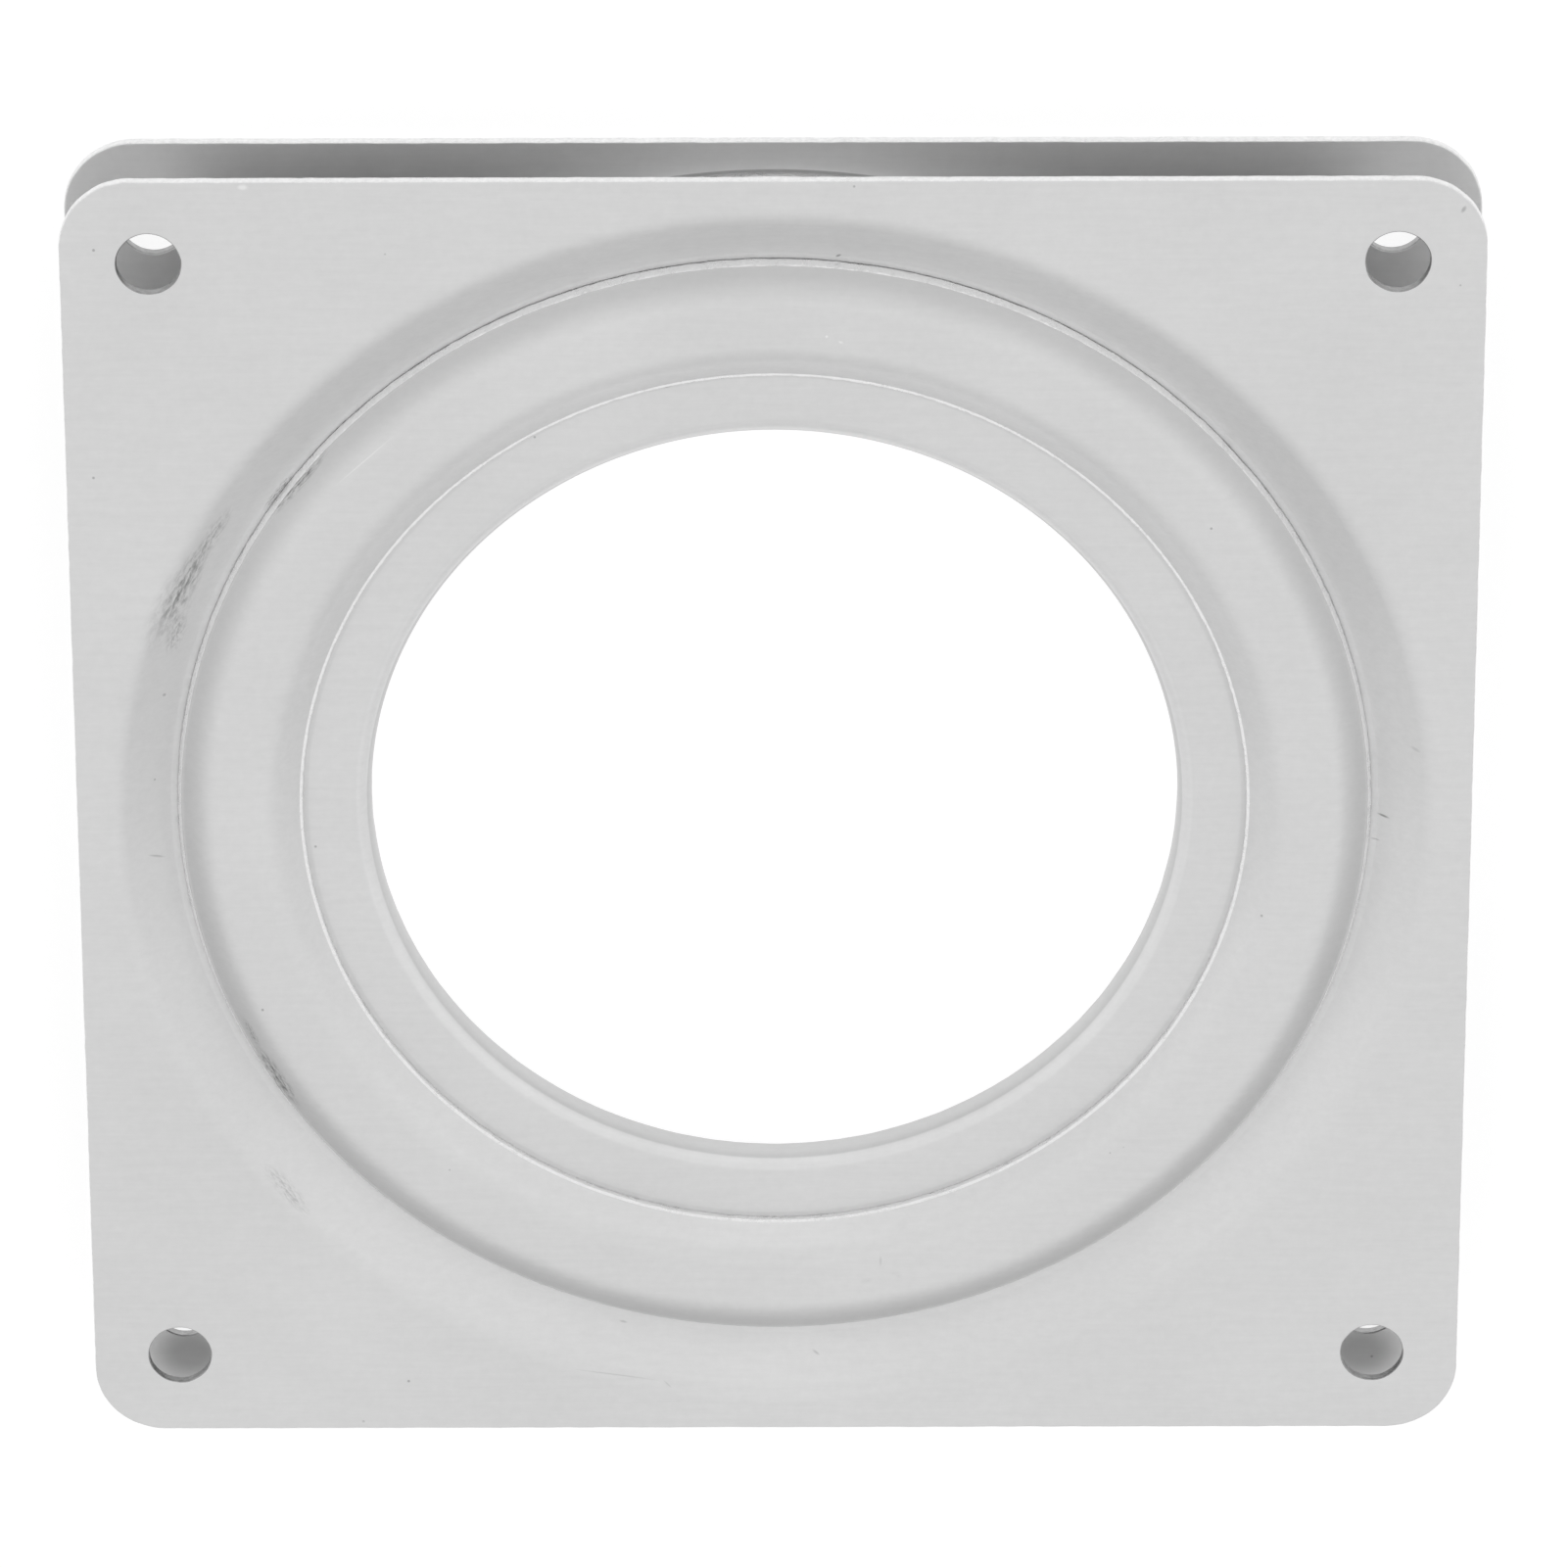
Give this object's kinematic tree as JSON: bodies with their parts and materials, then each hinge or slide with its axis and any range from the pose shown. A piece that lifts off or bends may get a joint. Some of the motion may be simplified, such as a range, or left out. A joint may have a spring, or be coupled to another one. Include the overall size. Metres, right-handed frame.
{
  "type": "lazy susan bearing",
  "caption": "Square swivel bearing for a turntable: two thin galvanised steel plates with corner screw holes that turn on a ball race round an open middle.",
  "frame": {"origin": "middle of the back plate's mounting face, on the spin axis", "axes": "+Z along the spin axis, from the back plate towards the front plate; X and Y along the plates' sides"},
  "size_m": [0.1016, 0.1016, 0.0079],
  "materials": {
    "plate_steel": "galvanised sheet steel, satin light grey with faint mottling",
    "ring_steel": "galvanised sheet steel, satin, lightly scuffed along the bead",
    "ball_steel": "polished hard steel"
  },
  "bodies": {
    "base": {"back_plate": "plate_steel", "race_ring": "ring_steel", "retainer_ring": "ring_steel"},
    "turntable": {"front_plate": "plate_steel"},
    "ball_row": {"ball_01": "ball_steel", "ball_02": "ball_steel", "ball_03": "ball_steel", "ball_04": "ball_steel", "ball_05": "ball_steel", "ball_06": "ball_steel", "ball_07": "ball_steel", "ball_08": "ball_steel", "ball_09": "ball_steel", "ball_10": "ball_steel", "ball_11": "ball_steel", "ball_12": "ball_steel", "ball_13": "ball_steel", "ball_14": "ball_steel", "ball_15": "ball_steel", "ball_16": "ball_steel", "ball_17": "ball_steel", "ball_18": "ball_steel", "ball_19": "ball_steel", "ball_20": "ball_steel", "ball_21": "ball_steel", "ball_22": "ball_steel", "ball_23": "ball_steel", "ball_24": "ball_steel", "ball_25": "ball_steel", "ball_26": "ball_steel", "ball_27": "ball_steel", "ball_28": "ball_steel", "ball_29": "ball_steel", "ball_30": "ball_steel", "ball_31": "ball_steel", "ball_32": "ball_steel", "ball_33": "ball_steel", "ball_34": "ball_steel", "ball_35": "ball_steel", "ball_36": "ball_steel"}
  },
  "joints": [
    {"name": "turntable_spin", "type": "hinge", "parent": "base", "child": "turntable", "pos_m": [0, 0, 0], "axis": [0, 0, 1], "continuous": true},
    {"name": "ball_row_orbit", "type": "hinge", "parent": "base", "child": "ball_row", "pos_m": [0, 0, 0], "axis": [0, 0, 1], "continuous": true}
  ],
  "couplings": [
    {"joint": "ball_row_orbit", "follows": "turntable_spin", "ratio": 0.5}
  ]
}
